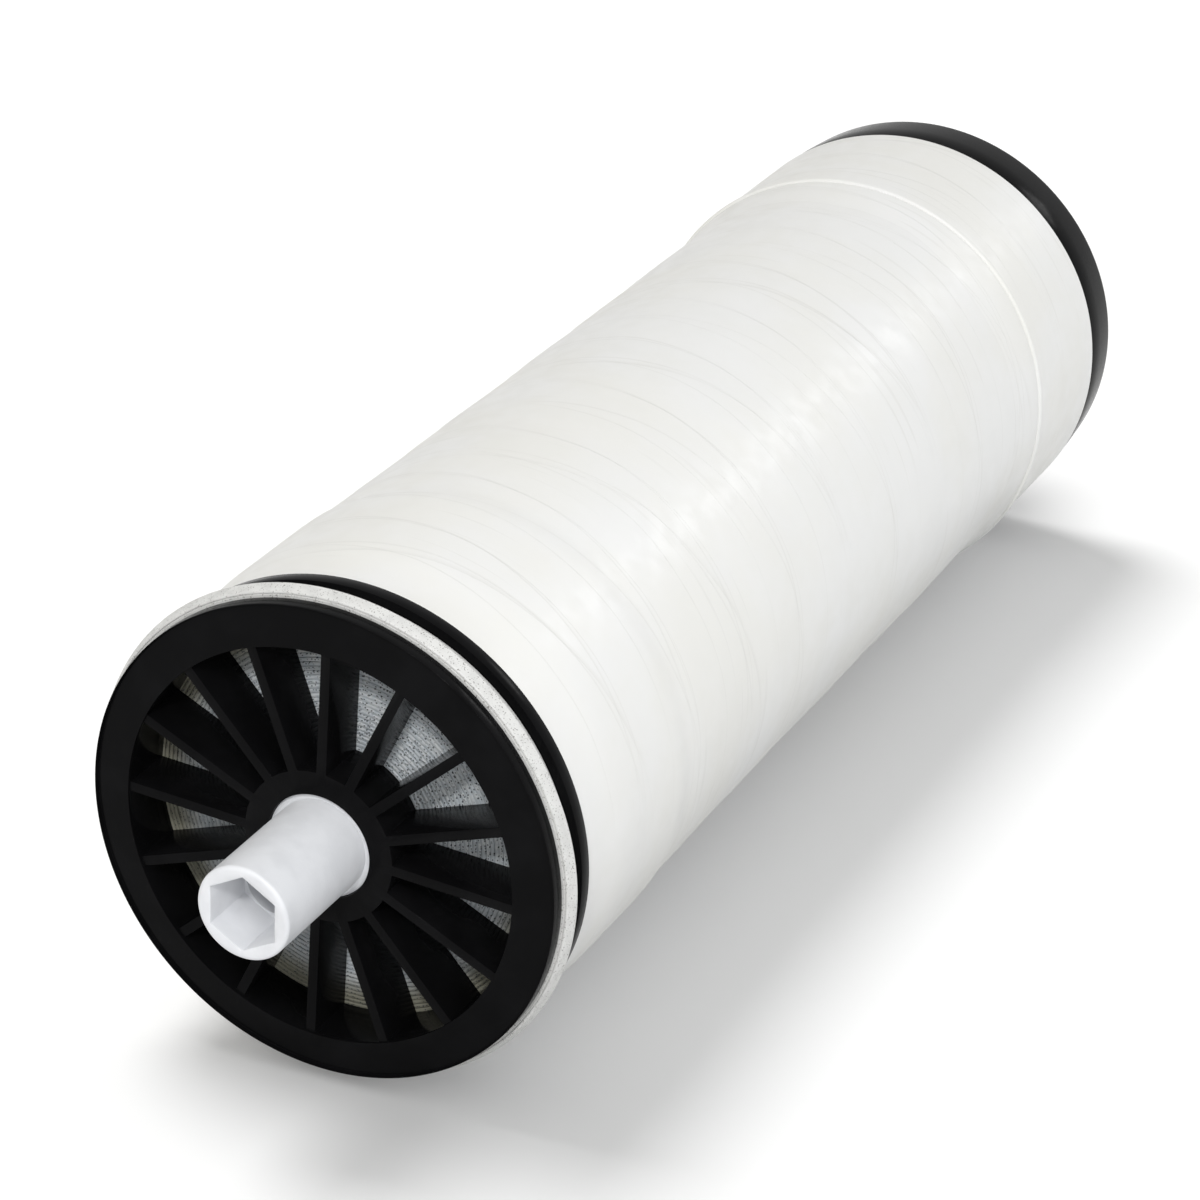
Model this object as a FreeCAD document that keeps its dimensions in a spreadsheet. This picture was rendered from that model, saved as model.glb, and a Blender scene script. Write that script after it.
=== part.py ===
import FreeCAD, Part
import math
import os

import Sketcher
from FreeCAD import Placement, Rotation, Vector

# Spiral-wound reverse osmosis element, 4 inch class, 14 inches long.
#
# Frame, in millimetres: the permeate tube's axis is +Y, from the feed end to the brine end, +Z is up, and
# the origin is the centre of the tube's feed-end mouth. Every piece is coaxial with the tube.
# A station is a distance along the axis. Angles are clockwise from +Z, seen from the feed end.

SHEET_CELLS = [
    # The permeate tube
    ("tube_projection", 26.5, "tube standing out past each end cap"),
    ("tube_tip_radius", 9.525, "outside of the turned tube ends, which a coupler slides over"),
    ("tube_wall", 3.125, "wall of the tube ends, down to the round bore"),
    ("shoulder_height", 1.175, "step from the turned ends up to the tube's body"),
    ("shoulder_depth", 1.7, "tube shoulder, behind the outer face of an end cap"),
    ("tube_tip_chamfer", 0.4, "bevel round each mouth"),
    ("hex_flats", 13.35, "across the flats of the drive socket in each mouth"),
    ("hex_depth", 12.2, "depth of the drive socket"),
    ("hex_phase", 2.7, "angle of one corner of the drive socket, degrees"),
    ("hole_radius", 1.6, "permeate holes through the tube wall"),
    ("hole_pitch", 80.0, "distance between the permeate holes of one row"),
    ("hole_count", 3, "permeate holes in one row"),
    # Both end caps
    ("element_length", 302.6, "outer face to outer face of the two end caps"),
    ("rim_overlap", 3.5, "rim reaching in over the roll's end, past the roll's outside"),
    ("hub_wall", 4.8, "thickness of the hub"),
    ("hub_clearance", 0.1, "gap between the hub and the tube"),
    ("spoke_count", 16, "spokes of an end cap"),
    ("spoke_thickness", 2.0, "thickness of a spoke"),
    ("spoke_phase", 4.4, "angle of one spoke, degrees"),
    ("spoke_recess", 0.8, "spokes and hub, behind the outer face of the rim"),
    ("spoke_depth", 11.4, "spokes and hub along the axis, up to the roll's end"),
    ("skirt_length", 9.0, "sleeve of a cap round the roll, behind the rim"),
    ("skirt_wall", 1.4, "thickness of that sleeve"),
    ("pocket_clearance", 0.1, "gap between the sleeve and the roll"),
    # The feed end cap's rim
    ("flange_height", 3.1, "both flanges, above the floor of the seal groove"),
    ("front_flange", 4.0, "thickness of the front flange"),
    ("groove_width", 8.2, "seal groove between the flanges"),
    ("rear_flange", 3.0, "thickness of the rear flange"),
    ("flange_bevel", 0.9, "bevel of the front flange's outer edge"),
    # The brine end cap's rim
    ("rim_height", 3.3, "rim of the brine end cap, above its sleeve"),
    ("rim_land", 6.8, "straight part of that rim, next to the wrap"),
    ("rim_taper", 8.4, "tapered part of that rim, up to the outer face"),
    ("rim_draft", 0.6, "how far that part draws in"),
    ("rim_bevel", 1.6, "bevel of that rim's outer edge"),
    # The brine seal
    ("seal_clearance", 0.2, "gap between the seal and each side of its groove"),
    ("seal_base", 1.4, "thickness of the seal's base ring"),
    ("seal_wall", 1.7, "thickness of the seal's front wall"),
    ("lip_stand", 1.1, "front edge of the lip, above the flanges"),
    ("lip_flare", 0.9, "free edge of the lip, above its front edge"),
    ("lip_width", 2.4, "lip along the axis"),
    ("lip_thickness", 1.0, "thickness of the lip"),
    # The roll
    ("leaves_thickness", 33.5, "rolled leaves, from the tube to the outside of the roll"),
    ("turn_pitch", 4.8, "distance from one open turn of the roll to the next"),
    ("turn_gap", 1.8, "width of the open spiral in the roll's ends"),
    ("turn_depth", 1.4, "depth of the open spiral in the roll's ends"),
    ("turn_margin", 2.0, "solid band inside the first and outside the last turn"),
    # The tape wrap
    ("tape_thickness", 2.4, "tape over the sleeves of the caps"),
    ("lap_height", 0.22, "step where one turn of tape lies over the last"),
    ("lap_count", 3, "raised laps between the two thick ends of the wrap"),
    ("swell_start", 4.8, "feed end of the wrap's swelling, behind the rim of the cap"),
    ("swell_rise", 12.0, "tapered start of the swelling"),
    ("swell_land", 21.0, "full height of the swelling"),
    ("swell_fall", 4.0, "tapered end of the swelling"),
    ("swell_height", 1.0, "extra turns of tape over the feed end cap's sleeve"),
    # The band of tape at the brine end
    ("band_rise", 14.0, "tapered start of the band, up to its ridge"),
    ("ridge_height", 1.8, "ridge of the band, above the wrap"),
    ("ridge_width", 1.5, "width of the ridge"),
    ("band_land", 35.5, "band from its ridge to the rim of the cap"),
    ("band_share", 0.72, "height of that part, as a share of the ridge's"),
]

FEED_FACE = "Sizes.tube_projection"
BRINE_FACE = "(Sizes.tube_projection + Sizes.element_length)"
OVERALL = "(2 * Sizes.tube_projection + Sizes.element_length)"
TUBE_BORE = "(Sizes.tube_tip_radius - Sizes.tube_wall)"
TUBE_BODY = "(Sizes.tube_tip_radius + Sizes.shoulder_height)"
HUB_BORE = f"({TUBE_BODY} + Sizes.hub_clearance)"
HUB_RADIUS = f"({HUB_BORE} + Sizes.hub_wall)"
ROLL_RADIUS = f"({TUBE_BODY} + Sizes.leaves_thickness)"
WINDOW_RADIUS = f"({ROLL_RADIUS} - Sizes.rim_overlap)"
POCKET_RADIUS = f"({ROLL_RADIUS} + Sizes.pocket_clearance)"
SKIRT_RADIUS = f"({POCKET_RADIUS} + Sizes.skirt_wall)"
FLANGE_RADIUS = f"({SKIRT_RADIUS} + Sizes.flange_height)"
RIM_RADIUS = f"({SKIRT_RADIUS} + Sizes.rim_height)"
WRAP_RADIUS = f"({SKIRT_RADIUS} + Sizes.tape_thickness)"
WEB_DEPTH = "(Sizes.spoke_recess + Sizes.spoke_depth)"
GROOVE_END = "(Sizes.front_flange + Sizes.groove_width)"
FEED_RIM = f"({GROOVE_END} + Sizes.rear_flange)"
BRINE_RIM = "(Sizes.rim_land + Sizes.rim_taper)"
RIDGE = f"({BRINE_RIM} + Sizes.band_land)"
BAND_START = f"({RIDGE} + Sizes.ridge_width + Sizes.band_rise)"


def fill_sheet(doc):
    """Spreadsheet of the driving sizes, one alias a row."""
    sheet = doc.addObject("Spreadsheet::Sheet", "Sizes")
    for row, (alias, value, meaning) in enumerate(SHEET_CELLS, start=1):
        sheet.set(f"A{row}", alias)
        sheet.set(f"B{row}", str(value))
        sheet.setAlias(f"B{row}", alias)
        sheet.set(f"C{row}", meaning)
    doc.recompute()
    return sheet


def number(doc, expression):
    """Plain value of an expression of the sheet's aliases."""
    result = doc.Sizes.evalExpression(str(expression))
    return float(getattr(result, "Value", result))


def from_feed(distance):
    """Station of a point that lies this far behind the feed end cap's outer face."""
    return f"{FEED_FACE} + {distance}"


def from_brine(distance):
    """Station of a point that lies this far inside the brine end cap's outer face."""
    return f"{BRINE_FACE} - ({distance})"


# ---- sketches and features shared by several pieces ----


def new_body(doc, name):
    """Empty body whose label is the node's name."""
    body = doc.addObject("PartDesign::Body", name)
    body.Label = name
    return body


def plane_sketch(body, name, role):
    """Sketch on one of the body's own origin planes."""
    sketch = body.newObject("Sketcher::SketchObject", name)
    plane = next(item for item in body.Origin.OriginFeatures if item.Role == role)
    sketch.AttachmentSupport = [(plane, "")]
    sketch.MapMode = "FlatFace"
    return sketch


def drive(sketch, name, constraint, expression):
    """Add a dimension to a sketch and bind it to the sheet."""
    index = sketch.addConstraint(constraint)
    sketch.renameConstraint(index, name)
    sketch.setExpression(f"Constraints.{name}", expression)


def section(body, name, corners):
    """Half section on the YZ plane: a closed loop of corners, each (station, radius)."""
    doc = body.Document
    sketch = plane_sketch(body, name, "YZ_Plane")
    spots = [Vector(number(doc, station), number(doc, radius), 0) for station, radius in corners]
    count = len(spots)
    for index in range(count):
        sketch.addGeometry(Part.LineSegment(spots[index], spots[(index + 1) % count]), False)
    for index in range(count):
        sketch.addConstraint(Sketcher.Constraint("Coincident", index, 2, (index + 1) % count, 1))
    for index, (station, radius) in enumerate(corners):
        if station == "0":
            sketch.addConstraint(Sketcher.Constraint("PointOnObject", index, 1, -2))
        else:
            along = Sketcher.Constraint("DistanceX", -1, 1, index, 1, spots[index].x)
            drive(sketch, f"station_{index}", along, station)
        outward = Sketcher.Constraint("DistanceY", -1, 1, index, 1, spots[index].y)
        drive(sketch, f"radius_{index}", outward, radius)
    return sketch


def turned(body, name, corners):
    """Solid of revolution about the tube's axis, added to a body."""
    sketch = section(body, f"{name}_section", corners)
    feature = body.newObject("PartDesign::Revolution", name)
    feature.Profile = sketch
    feature.ReferenceAxis = (sketch, ["H_Axis"])
    feature.Angle = 360
    sketch.Visibility = False
    body.Document.recompute()
    return feature


def pocket(body, name, sketch, both_ways=False):
    """Cut a sketch through the body, along its normal."""
    feature = body.newObject("PartDesign::Pocket", name)
    feature.Profile = sketch
    feature.Type = "ThroughAll"
    feature.Midplane = both_ways
    sketch.Visibility = False
    body.Document.recompute()
    return feature


def bevel_rim(body, name, station, radius, size):
    """Bevel the circular edge that has this station and radius."""
    doc = body.Document
    blank = body.Tip
    picked = []
    for index, edge in enumerate(blank.Shape.Edges, start=1):
        if not isinstance(edge.Curve, Part.Circle):
            continue
        on_station = abs(edge.Curve.Center.y - number(doc, station)) < 1e-6
        if on_station and abs(edge.Curve.Radius - number(doc, radius)) < 1e-6:
            picked.append(f"Edge{index}")
    feature = body.newObject("PartDesign::Chamfer", name)
    feature.Base = (blank, picked)
    feature.setExpression("Size", size)
    doc.recompute()


# ---- the permeate tube ----


def hex_sketch(body, name):
    """Drive socket's hexagon, on a plane across the axis."""
    doc = body.Document
    sketch = plane_sketch(body, name, "XZ_Plane")
    corner_radius = number(doc, "Sizes.hex_flats") / math.sqrt(3)
    start = math.pi / 2 - math.radians(number(doc, "Sizes.hex_phase"))
    corners = []
    for index in range(6):
        angle = start + index * math.pi / 3
        corners.append(Vector(corner_radius * math.cos(angle), corner_radius * math.sin(angle), 0))
    for index in range(6):
        sketch.addGeometry(Part.LineSegment(corners[index], corners[(index + 1) % 6]), False)
    guide = sketch.addGeometry(Part.Circle(Vector(), Vector(0, 0, 1), corner_radius), True)
    spoke = sketch.addGeometry(Part.LineSegment(Vector(), corners[0]), True)
    for index in range(6):
        sketch.addConstraint(Sketcher.Constraint("Coincident", index, 2, (index + 1) % 6, 1))
        sketch.addConstraint(Sketcher.Constraint("PointOnObject", index, 1, guide))
    for index in range(1, 6):
        sketch.addConstraint(Sketcher.Constraint("Equal", 0, index))
    sketch.addConstraint(Sketcher.Constraint("Coincident", guide, 3, -1, 1))
    sketch.addConstraint(Sketcher.Constraint("Coincident", spoke, 1, -1, 1))
    sketch.addConstraint(Sketcher.Constraint("Coincident", spoke, 2, 0, 1))
    drive(
        sketch,
        "corner_radius",
        Sketcher.Constraint("Radius", guide, corner_radius),
        "Sizes.hex_flats / sqrt(3)",
    )
    drive(
        sketch,
        "corner_angle",
        Sketcher.Constraint("Angle", spoke, start),
        "(90 - Sizes.hex_phase) * 1 deg",
    )
    return sketch


def cut_socket(body, name, station, towards_brine):
    """Drive socket from a mouth of the tube into it."""
    sketch = hex_sketch(body, f"{name}_hexagon")
    sketch.setExpression("AttachmentOffset.Base.z", f"-({station})")
    feature = body.newObject("PartDesign::Pocket", name)
    feature.Profile = sketch
    feature.Type = "Length"
    feature.setExpression("Length", "Sizes.hex_depth")
    feature.Reversed = not towards_brine
    sketch.Visibility = False
    body.Document.recompute()


def hole_row(body, name, role, shift):
    """Row of permeate holes, each through both walls of the tube."""
    doc = body.Document
    sketch = plane_sketch(body, f"{name}_circle", role)
    first = f"{OVERALL} / 2 - (Sizes.hole_count - 1) / 2 * Sizes.hole_pitch + {shift} * Sizes.hole_pitch"
    across = role == "XY_Plane"
    centre = Vector(0, number(doc, first), 0) if across else Vector(number(doc, first), 0, 0)
    circle = sketch.addGeometry(
        Part.Circle(centre, Vector(0, 0, 1), number(doc, "Sizes.hole_radius")), False
    )
    sketch.addConstraint(Sketcher.Constraint("PointOnObject", circle, 3, -2 if across else -1))
    direction = "DistanceY" if across else "DistanceX"
    along = Sketcher.Constraint(direction, -1, 1, circle, 3, number(doc, first))
    drive(sketch, "first_hole", along, first)
    drive(
        sketch,
        "hole_size",
        Sketcher.Constraint("Radius", circle, number(doc, "Sizes.hole_radius")),
        "Sizes.hole_radius",
    )
    hole = pocket(body, name, sketch, both_ways=True)
    row = body.newObject("PartDesign::LinearPattern", f"{name}_row")
    row.Originals = [hole]
    row.Direction = (sketch, ["V_Axis" if across else "H_Axis"])
    row.setExpression("Length", "(Sizes.hole_count - 1) * Sizes.hole_pitch")
    row.setExpression("Occurrences", "Sizes.hole_count")
    body.Tip = row
    doc.recompute()


def build_permeate_tube(doc):
    """Central tube: turned ends, shoulders, hexagonal drive sockets and rows of permeate holes."""
    body = new_body(doc, "permeate_tube")
    chamfer = "Sizes.tube_tip_chamfer"
    corners = [
        ("0", TUBE_BORE),
        ("0", f"Sizes.tube_tip_radius - {chamfer}"),
        (chamfer, "Sizes.tube_tip_radius"),
        (from_feed("Sizes.shoulder_depth"), "Sizes.tube_tip_radius"),
        (from_feed("Sizes.shoulder_depth"), TUBE_BODY),
        (from_brine("Sizes.shoulder_depth"), TUBE_BODY),
        (from_brine("Sizes.shoulder_depth"), "Sizes.tube_tip_radius"),
        (f"{OVERALL} - {chamfer}", "Sizes.tube_tip_radius"),
        (OVERALL, f"Sizes.tube_tip_radius - {chamfer}"),
        (OVERALL, TUBE_BORE),
    ]
    turned(body, "tube_wall", corners)
    cut_socket(body, "feed_socket", "0", True)
    cut_socket(body, "brine_socket", OVERALL, False)
    hole_row(body, "upright_holes", "XY_Plane", "0")
    hole_row(body, "level_holes", "YZ_Plane", "0.5")
    return body


# ---- the end caps ----


def window_sketch(body):
    """One window between two spokes: two arcs about the axis and a side along each spoke."""
    doc = body.Document
    sketch = plane_sketch(body, "window_outline", "XZ_Plane")
    half_pitch = math.pi / number(doc, "Sizes.spoke_count")
    half_spoke = number(doc, "Sizes.spoke_thickness") / 2
    radii = {"hub_side": HUB_RADIUS, "rim_side": WINDOW_RADIUS}
    arcs = []
    for expression in radii.values():
        radius = number(doc, expression)
        half_angle = half_pitch - math.asin(half_spoke / radius)
        circle = Part.Circle(Vector(), Vector(0, 0, 1), radius)
        start, end = math.pi / 2 - half_angle, math.pi / 2 + half_angle
        arcs.append(sketch.addGeometry(Part.ArcOfCircle(circle, start, end), False))
    inner, outer = arcs
    sides = []
    for end in (1, 2):
        foot = sketch.getPoint(inner, end)
        top = sketch.getPoint(outer, end)
        sides.append(sketch.addGeometry(Part.LineSegment(foot, top), False))
    for end, side in zip((1, 2), sides):
        sketch.addConstraint(Sketcher.Constraint("Coincident", side, 1, inner, end))
        sketch.addConstraint(Sketcher.Constraint("Coincident", side, 2, outer, end))
    for arc in arcs:
        sketch.addConstraint(Sketcher.Constraint("Coincident", arc, 3, -1, 1))
    for (name, expression), arc in zip(radii.items(), arcs):
        drive(sketch, name, Sketcher.Constraint("Radius", arc, number(doc, expression)), expression)
    lean = "180 / Sizes.spoke_count"
    for name, side, sign in zip(("right", "left"), sides, ("-", "+")):
        slope = math.pi / 2 + (half_pitch if sign == "+" else -half_pitch)
        angle = f"(90 {sign} {lean}) * 1 deg"
        drive(sketch, f"{name}_slope", Sketcher.Constraint("Angle", side, slope), angle)
        apart = Sketcher.Constraint("Distance", -1, 1, side, half_spoke)
        drive(sketch, f"{name}_side", apart, "Sizes.spoke_thickness / 2")
    turn = "-(Sizes.spoke_phase + 180 / Sizes.spoke_count) * 1 deg"
    sketch.AttachmentOffset = Placement(Vector(), Rotation(Vector(0, 0, 1), 1))
    sketch.setExpression("AttachmentOffset.Rotation.Angle", turn)
    return sketch


def cut_windows(body):
    """Ring of windows, which leaves the radial spokes between the hub and the rim."""
    doc = body.Document
    solid_web = body.Shape.Volume
    sketch = window_sketch(body)
    window = pocket(body, "window", sketch)
    ring = body.newObject("PartDesign::PolarPattern", "windows")
    ring.Originals = [window]
    ring.Axis = (sketch, ["N_Axis"])
    ring.Angle = 360
    ring.setExpression("Occurrences", "Sizes.spoke_count")
    body.Tip = ring
    doc.recompute()
    if body.Shape.Volume > 0.9 * solid_web:
        raise RuntimeError(f"{body.Label}: the windows removed nothing")


def cap_inside(place, rim):
    """Corners that both caps share, from the sleeve's end round the roll's pocket to the face."""
    sleeve_end = f"{rim} + Sizes.skirt_length"
    return [
        (place(sleeve_end), SKIRT_RADIUS),
        (place(sleeve_end), POCKET_RADIUS),
        (place(WEB_DEPTH), POCKET_RADIUS),
        (place(WEB_DEPTH), HUB_BORE),
        (place("Sizes.spoke_recess"), HUB_BORE),
        (place("Sizes.spoke_recess"), WINDOW_RADIUS),
        (place("0"), WINDOW_RADIUS),
    ]


def build_feed_end_cap(doc):
    """Spoked cap with two flanges and the brine seal's groove between them."""
    body = new_body(doc, "feed_end_cap")
    corners = cap_inside(from_feed, FEED_RIM) + [
        (from_feed("0"), FLANGE_RADIUS),
        (from_feed("Sizes.front_flange"), FLANGE_RADIUS),
        (from_feed("Sizes.front_flange"), SKIRT_RADIUS),
        (from_feed(GROOVE_END), SKIRT_RADIUS),
        (from_feed(GROOVE_END), FLANGE_RADIUS),
        (from_feed(FEED_RIM), FLANGE_RADIUS),
        (from_feed(FEED_RIM), SKIRT_RADIUS),
    ]
    turned(body, "cap_blank", corners)
    bevel_rim(body, "front_bevel", from_feed("0"), FLANGE_RADIUS, "Sizes.flange_bevel")
    cut_windows(body)
    return body


def build_brine_end_cap(doc):
    """Spoked cap with a plain rim, which tapers a little towards its outer face."""
    body = new_body(doc, "brine_end_cap")
    face_radius = f"({RIM_RADIUS} - Sizes.rim_draft)"
    corners = cap_inside(from_brine, BRINE_RIM) + [
        (from_brine("0"), face_radius),
        (from_brine("Sizes.rim_taper"), RIM_RADIUS),
        (from_brine(BRINE_RIM), RIM_RADIUS),
        (from_brine(BRINE_RIM), SKIRT_RADIUS),
    ]
    turned(body, "cap_blank", corners)
    bevel_rim(body, "rim_bevel", from_brine("0"), face_radius, "Sizes.rim_bevel")
    cut_windows(body)
    return body


# ---- the brine seal ----


def build_brine_seal(doc):
    """Rubber ring in the feed end cap's groove, with a lip that flares past the flanges."""
    body = new_body(doc, "brine_seal")
    front = "Sizes.front_flange + Sizes.seal_clearance"
    back = f"{GROOVE_END} - Sizes.seal_clearance"
    base_top = f"{SKIRT_RADIUS} + Sizes.seal_base"
    wall_back = f"{front} + Sizes.seal_wall"
    lip_end = f"{front} + Sizes.lip_width"
    lip_front = f"{FLANGE_RADIUS} + Sizes.lip_stand"
    corners = [
        (from_feed(front), SKIRT_RADIUS),
        (from_feed(back), SKIRT_RADIUS),
        (from_feed(back), base_top),
        (from_feed(wall_back), base_top),
        (from_feed(wall_back), f"{lip_front} - Sizes.lip_thickness"),
        (from_feed(lip_end), f"{lip_front} + Sizes.lip_flare - Sizes.lip_thickness"),
        (from_feed(lip_end), f"{lip_front} + Sizes.lip_flare"),
        (from_feed(front), lip_front),
    ]
    turned(body, "seal_ring", corners)
    return body


# ---- the membrane roll ----


def spiral_edges(radii):
    """Half circles of the given radii, alternately about the axis and about a centre half a turn out."""
    edges = []
    step = radii[1] - radii[0]
    for index, radius in enumerate(radii):
        upper = index % 2 == 0
        centre = Vector(0 if upper else step, 0, 0)
        side = 1 if upper else -1
        start = centre + Vector(side * radius, 0, 0)
        middle = centre + Vector(0, 0, side * radius)
        end = centre - Vector(side * radius, 0, 0)
        edges.append(Part.Arc(start, middle, end).toShape())
    return edges


def spiral_gap(doc):
    """Flat face of the open spiral between the turns of the roll, at station zero."""
    pitch = number(doc, "Sizes.turn_pitch")
    width = number(doc, "Sizes.turn_gap")
    first = number(doc, f"{TUBE_BODY} + Sizes.turn_margin + Sizes.turn_gap / 2")
    last = number(doc, f"{ROLL_RADIUS} - Sizes.turn_margin - Sizes.turn_gap / 2") - pitch / 2
    count = int((last - first) / (pitch / 2)) + 1
    middle = [first + index * pitch / 2 for index in range(count)]
    outside = spiral_edges([radius + width / 2 for radius in middle])
    inside = spiral_edges([radius - width / 2 for radius in middle])
    mouth = Part.makeLine(outside[0].Vertexes[0].Point, inside[0].Vertexes[0].Point)
    tail = Part.makeLine(outside[-1].Vertexes[-1].Point, inside[-1].Vertexes[-1].Point)
    wire = Part.Wire(Part.__sortEdges__(outside + [tail] + inside + [mouth]))
    return Part.Face(wire)


def build_membrane_roll(doc):
    """Leaves and spacers rolled round the tube, with the open turns showing at both ends."""
    blank = new_body(doc, "roll_blank")
    near = from_feed(WEB_DEPTH)
    far = from_brine(WEB_DEPTH)
    corners = [
        (near, TUBE_BODY),
        (near, ROLL_RADIUS),
        (far, ROLL_RADIUS),
        (far, TUBE_BODY),
    ]
    turned(blank, "leaves", corners)
    face = spiral_gap(doc)
    depth = number(doc, "Sizes.turn_depth")
    gaps = []
    for station in (number(doc, near), number(doc, far) - depth):
        placed = face.translated(Vector(0, station, 0))
        gaps.append(placed.extrude(Vector(0, depth, 0)))
    turns = doc.addObject("Part::Feature", "open_turns")
    turns.Shape = Part.makeCompound(gaps)
    turns.Placement = Placement()
    roll = doc.addObject("Part::Cut", "membrane_roll")
    roll.Base = blank
    roll.Tool = turns
    roll.Label = "membrane_roll"
    doc.recompute()
    return roll


# ---- the tape wrap and the band at its brine end ----


def build_outer_wrap(doc):
    """Tape wound round the roll and the sleeves of both caps, thicker over the feed end cap's sleeve."""
    body = new_body(doc, "outer_wrap")
    swell_start = f"{FEED_RIM} + Sizes.swell_start"
    swell_full = f"{swell_start} + Sizes.swell_rise"
    swell_fall = f"{swell_full} + Sizes.swell_land"
    swell_end = f"{swell_fall} + Sizes.swell_fall"
    swell_radius = f"{WRAP_RADIUS} + Sizes.swell_height"
    corners = [
        (from_feed(FEED_RIM), SKIRT_RADIUS),
        (from_feed(FEED_RIM), WRAP_RADIUS),
        (from_feed(swell_start), WRAP_RADIUS),
        (from_feed(swell_full), swell_radius),
        (from_feed(swell_fall), swell_radius),
        (from_feed(swell_end), WRAP_RADIUS),
        (from_brine(BRINE_RIM), WRAP_RADIUS),
        (from_brine(BRINE_RIM), SKIRT_RADIUS),
        (from_brine(f"{BRINE_RIM} + Sizes.skirt_length"), SKIRT_RADIUS),
        (from_brine(f"{BRINE_RIM} + Sizes.skirt_length"), ROLL_RADIUS),
        (from_feed(f"{FEED_RIM} + Sizes.skirt_length"), ROLL_RADIUS),
        (from_feed(f"{FEED_RIM} + Sizes.skirt_length"), SKIRT_RADIUS),
    ]
    turned(body, "wound_tape", corners)
    lap_pitch = f"((Sizes.element_length - {BAND_START} - ({swell_end})) / (Sizes.lap_count + 0.5))"
    add_laps(body, f"{from_feed(swell_end)} + {lap_pitch} / 2", lap_pitch)
    return body


def add_laps(body, start, pitch):
    """Raised laps of tape round the wrap, each half a pitch wide."""
    root = f"{WRAP_RADIUS} - Sizes.lap_height"
    top = f"{WRAP_RADIUS} + Sizes.lap_height"
    end = f"{start} + {pitch} / 2"
    lap = turned(body, "tape_lap", [(start, root), (start, top), (end, top), (end, root)])
    laps = body.newObject("PartDesign::LinearPattern", "tape_laps")
    laps.Originals = [lap]
    laps.Direction = (lap.Profile[0], ["H_Axis"])
    laps.setExpression("Length", f"(Sizes.lap_count - 1) * {pitch}")
    laps.setExpression("Occurrences", "Sizes.lap_count")
    body.Tip = laps
    body.Document.recompute()


def build_brine_end_band(doc):
    """Band of tape over the wrap at the brine end, with a ridge where it starts."""
    body = new_body(doc, "brine_end_band")
    ridge_radius = f"{WRAP_RADIUS} + Sizes.ridge_height"
    land_radius = f"{WRAP_RADIUS} + Sizes.ridge_height * Sizes.band_share"
    corners = [
        (from_brine(BAND_START), WRAP_RADIUS),
        (from_brine(f"{RIDGE} + Sizes.ridge_width"), ridge_radius),
        (from_brine(RIDGE), ridge_radius),
        (from_brine(RIDGE), land_radius),
        (from_brine(BRINE_RIM), land_radius),
        (from_brine(BRINE_RIM), WRAP_RADIUS),
    ]
    turned(body, "band", corners)
    return body


# ---- document ----


def check(doc, nodes):
    """Stop if any object failed to rebuild or any node is not one valid shape."""
    for item in doc.Objects:
        if "Invalid" in item.State or "Error" in item.State:
            raise RuntimeError(f"{item.Name} failed: {item.State}")
    for node in nodes:
        shape = node.Shape
        if shape.isNull() or not shape.isValid() or len(shape.Solids) != 1:
            raise RuntimeError(f"{node.Label} is not one valid solid")


def main():
    """Build the document and write one STEP file a node."""
    doc = FreeCAD.newDocument("membrane_element")
    fill_sheet(doc)
    nodes = [
        build_permeate_tube(doc),
        build_feed_end_cap(doc),
        build_brine_seal(doc),
        build_brine_end_cap(doc),
        build_membrane_roll(doc),
        build_outer_wrap(doc),
        build_brine_end_band(doc),
    ]
    doc.recompute()
    check(doc, nodes)
    os.makedirs("parts", exist_ok=True)
    for node in nodes:
        node.Shape.exportStep(f"parts/{node.Label}.step")
        print(f"{node.Label}: {node.Shape.Volume / 1000:.1f} cm3, {len(node.Shape.Faces)} faces")


main()
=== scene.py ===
"""Spiral-wound membrane element: detailed pieces, finishes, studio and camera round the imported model."""

import logging
import math
from dataclasses import dataclass
from enum import Enum

import bmesh
import bpy
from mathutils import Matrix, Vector, noise


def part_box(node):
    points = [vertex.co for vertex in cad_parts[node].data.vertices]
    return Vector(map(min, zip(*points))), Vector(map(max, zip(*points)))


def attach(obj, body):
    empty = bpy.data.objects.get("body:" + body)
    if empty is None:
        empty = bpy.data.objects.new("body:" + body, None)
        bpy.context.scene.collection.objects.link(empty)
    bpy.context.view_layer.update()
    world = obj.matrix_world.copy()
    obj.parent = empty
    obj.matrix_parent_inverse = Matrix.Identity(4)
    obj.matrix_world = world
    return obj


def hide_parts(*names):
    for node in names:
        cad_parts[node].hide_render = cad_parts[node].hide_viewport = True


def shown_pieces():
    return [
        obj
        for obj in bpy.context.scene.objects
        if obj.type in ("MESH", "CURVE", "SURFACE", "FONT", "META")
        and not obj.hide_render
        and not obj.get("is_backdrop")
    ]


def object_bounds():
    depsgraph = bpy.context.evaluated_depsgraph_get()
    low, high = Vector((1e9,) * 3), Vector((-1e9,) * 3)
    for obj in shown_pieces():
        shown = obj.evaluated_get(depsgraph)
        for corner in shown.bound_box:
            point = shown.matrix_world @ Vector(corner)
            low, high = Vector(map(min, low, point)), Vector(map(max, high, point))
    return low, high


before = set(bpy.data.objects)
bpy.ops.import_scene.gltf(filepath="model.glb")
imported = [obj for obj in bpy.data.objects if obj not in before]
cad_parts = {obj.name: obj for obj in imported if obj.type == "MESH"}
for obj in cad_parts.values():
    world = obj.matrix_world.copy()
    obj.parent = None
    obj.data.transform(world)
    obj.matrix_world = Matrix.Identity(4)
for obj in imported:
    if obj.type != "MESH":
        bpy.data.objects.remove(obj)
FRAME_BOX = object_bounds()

logging.basicConfig(level=logging.INFO, format="%(name)s: %(message)s")
log = logging.getLogger("membrane_element")

MM = 0.001
BODY = "root"

Socket = bpy.types.NodeSocket
Colour = tuple[float, float, float]
Feed = bpy.types.NodeSocket | float | tuple[float, ...]


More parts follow.
